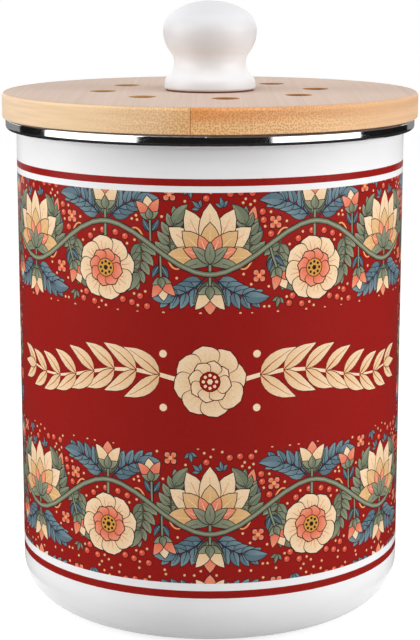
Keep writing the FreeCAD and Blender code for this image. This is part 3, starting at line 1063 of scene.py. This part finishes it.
def board_face(tree, strip, fibre):
    """The board's top and underside: strips of near tones with fibres and joints."""
    number = sums("FLOOR", strip)
    luck = add_node(tree, "TexWhiteNoise", {"W": number}, noise_dimensions="1D").outputs["Value"]
    tone = ramp(luck, (0.0, (0.48, 0.335, 0.252)), (1.0, (0.515, 0.355, 0.265)))
    streaks = spread(fibre, (0.95, 0.94, 0.92), (1.03, 1.02, 1.02))
    joint = ramp(sums("PINGPONG", strip, 0.5), (0.0, 0.86), (0.012, 1.0))
    return times(times(tone, streaks), joint)


def in_vents(tree, face):
    """1 on the walls of the holes near the axis, where painted shade darkens the bamboo, and 0 elsewhere."""
    flat_spot = place(tree, (1, 1, 0))
    reach = add_node(tree, "VectorMath", {0: flat_spot}, operation="LENGTH").outputs["Value"]
    near_axis = sums("LESS_THAN", reach, VENT_REACH)
    return sums("MULTIPLY", near_axis, sums("SUBTRACT", 1.0, face))


def bamboo():
    """Laminated bamboo, satin oiled: long fibres on its faces and their cut ends on its edge, with painted
    shade in the vents and towards the edge's ends.
    """
    material, tree, shader = new_material("bamboo")
    coordinates = add_node(tree, "TexCoord").outputs
    axes = add_node(tree, "SeparateXYZ", {"Vector": coordinates["Object"]}).outputs
    facing = add_node(tree, "SeparateXYZ", {"Vector": coordinates["Normal"]}).outputs["Z"]
    face = ramp(sums("ABSOLUTE", facing), (0.78, 0.0), (0.93, 1.0))
    strip = sums("DIVIDE", sums("SUBTRACT", axes["X"], BOARD_SEAM), BOARD_STRIP_WIDTH)
    fibre = cloud(place(tree, (1, 0.012, 1)), 620, 5, 0.62)
    dots = board_dots(tree, axes)
    colour = mixed(face, board_edge(tree, axes, strip, dots), board_face(tree, strip, fibre))
    set_inputs(shader, {
        # Painted shade: the vent walls are darkened and browned.
        "Base Color": mixed(in_vents(tree, face), colour, times(colour, VENT_PAINTED_SHADE)),
        "Roughness": spread(fibre, 0.7, 0.58),
        "Specular IOR Level": 0.5,
        "Sheen Weight": 0.18,
        "Sheen Roughness": 0.35,
    })
    bumped(shader, mixed(0.5, fibre, dots), 0.2, SOFT_RELIEF)
    return material


def glazed_white():
    """Glazed white with the odd pinhole and a slight wave; painted shade darkens the bulb's top and painted
    light whitens the neck.
    """
    material, tree, shader = new_material("glazed_white")
    spot = place(tree)
    height = add_node(tree, "SeparateXYZ", {"Vector": spot}).outputs["Z"]
    rise = sums("DIVIDE", sums("SUBTRACT", height, KNOB_FOOT), KNOB_HEIGHT)
    # Painted shade and painted light: by height, the colour is darkest on the bulb's top and whitest in the
    # neck.
    painted_shading = ramp(rise, (0.1, (0.73, 0.728, 0.735)), (0.4, (0.85, 0.845, 0.85)),
                 (0.65, (0.69, 0.685, 0.695)), (1.0, (0.63, 0.627, 0.645)))
    body = times(painted_shading, ramp(cloud(spot, 60, 3), (0.35, 0.98), (0.65, 1.02)))
    pinhole = add_node(tree, "TexVoronoi", {"Vector": spot, "Scale": 420.0}).outputs["Distance"]
    set_inputs(shader, {
        "Base Color": times(body, ramp(pinhole, (0.03, 0.82), (0.06, 1.0))),
        "Roughness": spread(cloud(spot, 140, 2), 0.3, 0.38),
        "Specular IOR Level": 0.35,
    })
    bumped(shader, cloud(spot, 110, 2), 0.08, SOFT_RELIEF)
    return material


def silicone():
    """Milky silicone, faintly clouded and dusty."""
    tone = (130, 4, (0.74, 0.745, 0.74), (0.82, 0.82, 0.80))
    milky = {"Subsurface Weight": 0.3, "Subsurface Scale": 0.002}
    return clouded_finish("silicone", tone, (800, 3, 0.42, 0.6), (1600, 3, 0.1), milky)


def dark_rubber():
    """Brown-black rubber with a fine moulded grain."""
    tone = (1800, 3, screen(96, 50, 38), screen(122, 70, 56))
    return clouded_finish("dark_rubber", tone, (1800, 3, 0.55, 0.75), (1800, 3, 0.2))


def turned_metal(name, dark, light, rough):
    """Metal from a lathe: fine rings round the axis, and a little tarnish."""
    material, tree, shader = new_material(name)
    rings = cloud(place(tree, (1, 1, 60)), 120, 3)
    tarnish = cloud(place(tree), 260, 4)
    set_inputs(shader, {
        "Base Color": spread(mixed(0.5, rings, tarnish), dark, light),
        "Roughness": spread(rings, rough, rough + 0.16),
        "Metallic": 1.0,
    })
    bumped(shader, rings, 0.15, FINE_RELIEF)
    return material


def brass():
    return turned_metal("brass", (0.52, 0.36, 0.13), (0.72, 0.53, 0.22), 0.22)


def plated_steel():
    return turned_metal("plated_steel", (0.5, 0.5, 0.52), (0.68, 0.68, 0.7), 0.26)


def holder_plastic():
    """Satin moulded plastic with a spark-eroded texture."""
    tone = (40, 3, (0.60, 0.60, 0.58), (0.66, 0.66, 0.64))
    return clouded_finish("holder_plastic", tone, (2200, 2, 0.42, 0.58), (2200, 2, 0.2))


def cell_walls(vector, scale):
    """The distance from the walls of random cells; scale is in cells to the metre."""
    inputs = {"Vector": vector, "Scale": scale}
    return add_node(vector.id_data, "TexVoronoi", inputs, feature="DISTANCE_TO_EDGE").outputs["Distance"]


def charcoal_foam():
    """Open black foam: cells with lighter threads between them."""
    material, tree, shader = new_material("charcoal_foam")
    spot = place(tree)
    walls = mixed(0.4, cell_walls(spot, 620), cell_walls(spot, 1500))
    thread = ramp(walls, (0.02, 1.0), (0.2, 0.0))
    set_inputs(shader, {
        "Base Color": ramp(thread, (0.0, (0.008, 0.008, 0.009)), (1.0, (0.07, 0.07, 0.075))),
        "Roughness": ramp(thread, (0.0, 0.95), (1.0, 0.7)),
    })
    bumped(shader, thread, 0.8, FOAM_RELIEF)
    return material


def dress_nodes():
    """Gives each solid that stays in view its material."""
    plated = plated_steel()
    finishes = {
        "rim_band": bright_steel(),
        "lid_seal": silicone(),
        "lid_board": bamboo(),
        "knob": glazed_white(),
        "knob_cushion": dark_rubber(),
        "knob_insert": brass(),
        "knob_screw": plated,
        "knob_washer": plated,
        "filter_holder": holder_plastic(),
    }
    for node, material in finishes.items():
        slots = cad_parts[node].data.materials
        slots.clear()
        slots.append(material)


# Studio


def staged(name, corners, material, faces=None):
    """A flat card of the studio; without faces, its corners make one."""
    data = bpy.data.meshes.new(name)
    data.from_pydata(corners, [], faces or [range(len(corners))])
    data.materials.append(material)
    card = in_scene(name, data)
    return card


def plain_finish(name, colour, glow=0.0):
    material, _, shader = new_material(name)
    set_inputs(shader, {
        "Base Color": (*colour, 1),
        "Roughness": 0.9,
        "Emission Color": (*colour, 1),
        "Emission Strength": glow,
    })
    return material


def seen_or_mirrored(tree):
    """1 for rays from the camera, a mirroring surface or clear glass, and 0 for light."""
    paths = add_node(tree, "LightPath").outputs
    seen = sums("ADD", paths["Is Camera Ray"], paths["Is Glossy Ray"])
    return sums("MINIMUM", sums("ADD", seen, paths["Is Transmission Ray"]), 1.0)


def floor_finish():
    """A pale floor with the object's shadow, lightened to white where it is seen or mirrored."""
    material, tree, shader = new_material("floor")
    set_inputs(shader, {
        "Base Color": (*FLOOR_COLOUR, 1),
        "Roughness": 0.8,
        "Specular IOR Level": 0.1,
        "Emission Color": (*WHITE, 1),
        "Emission Strength": sums("MULTIPLY", seen_or_mirrored(tree), FLOOR_LIFT),
    })
    return material


def upright_card(name, left, right, low, high, material):
    """An upright card between two places on the floor."""
    return staged(name, [(*left, low), (*right, low), (*right, high), (*left, high)], material)


def only_mirrored(card):
    """Leaves a card to mirroring surfaces alone, so that it takes no light away."""
    card.visible_camera = False
    card.visible_diffuse = False
    card.visible_shadow = False


def mirrored_cards(cards, low, high, material):
    """Cards round the object, each from one bearing to another."""
    for name, bearings in cards.items():
        left, right = [around(CARD_DISTANCE, radians(bearing)) for bearing in bearings]
        only_mirrored(upright_card(name, left, right, low, high, material))


def mirrored_mat(material):
    """A dark ring on the floor about the object."""
    count = 360 // MAT_STEP
    rings = [[around(radius, radians(step * MAT_STEP), MAT_HEIGHT) for step in range(count)]
             for radius in MAT_RADII]
    faces = [(k, (k + 1) % count, count + (k + 1) % count, count + k) for k in range(count)]
    only_mirrored(staged("mirrored_mat", rings[0] + rings[1], material, faces))


def softbox(name, place_at, aim, size, radiance):
    """A rectangular lamp that faces a point and isn't mirrored; a radiance of 1 looks white."""
    lamp = bpy.data.lights.new(name, "AREA")
    lamp.shape = "RECTANGLE"
    lamp.size, lamp.size_y = size
    lamp.energy = radiance * pi * prod(size)
    holder = in_scene(name, lamp)
    holder.visible_glossy = False
    holder.location = place_at
    holder.rotation_euler = (Vector(aim) - Vector(place_at)).to_track_quat("-Z", "Y").to_euler()


def side_softbox(name, first_bearing, last_bearing, radiance):
    """An upright softbox that fills a span of bearings."""
    middle = (first_bearing + last_bearing) / 2
    half = radians(abs(last_bearing - first_bearing) / 2)
    distance = BOX_DISTANCE * cos(half)
    width = 2 * BOX_DISTANCE * sin(half)
    height = BOX_LOW + BOX_HEIGHT / 2
    where = around(distance, radians(middle), height)
    softbox(name, where, (0, 0, height), (width, BOX_HEIGHT), radiance)


def build_world():
    """White for what is seen and mirrored, and a gentler even light on the object."""
    world = bpy.data.worlds.new("studio")
    world.use_nodes = True
    bpy.context.scene.world = world
    tree = world.node_tree
    lift = sums("MULTIPLY", seen_or_mirrored(tree), 1 - WORLD_LIGHT)
    set_inputs(tree.nodes["Background"], {
        "Color": (*WHITE, 1),
        "Strength": sums("ADD", lift, WORLD_LIGHT),
    })


def build_studio():
    """Floor, cards, softboxes and world."""
    build_world()
    half = FLOOR_SIZE / 2
    front = -CARD_DISTANCE
    staged("floor", [(-half, front, 0), (half, front, 0), (half, half, 0), (-half, half, 0)], floor_finish())
    black = plain_finish("black_card", BLACK)
    left, right = [(x, front) for x in FRONT_CARD]
    upright_card("front_card", left, right, 0, CARD_HEIGHT, black).visible_camera = False
    mirrored_cards(DARK_CARDS, 0, CARD_HEIGHT, black)
    mirrored_cards(GREY_CARDS, 0, GREY_CARD_HEIGHT, plain_finish("grey_card", GREY))
    mirrored_cards(WHITE_CARDS, BOX_LOW, CARD_HEIGHT, plain_finish("white_card", WHITE, WHITE_CARD_GLOW))
    mirrored_mat(black)
    for name, span in SIDE_BOXES.items():
        side_softbox(name, *span)
    softbox("top_box", TOP_BOX_PLACE, TOP_BOX_AIM, TOP_BOX_SIZE, TOP_BOX_RADIANCE)


def build_camera():
    """The camera at the photograph's viewing angle."""
    camera = bpy.data.cameras.new("camera")
    camera.lens = CAMERA_LENS
    holder = in_scene("camera", camera)
    holder.location = CAMERA_PLACE
    holder.rotation_euler = (radians(90 - CAMERA_PITCH), 0, 0)
    bpy.context.scene.camera = holder
    bpy.context.scene.view_settings.view_transform = "Standard"


build_canister()
build_charcoal_pad()
dress_nodes()
build_studio()
build_camera()
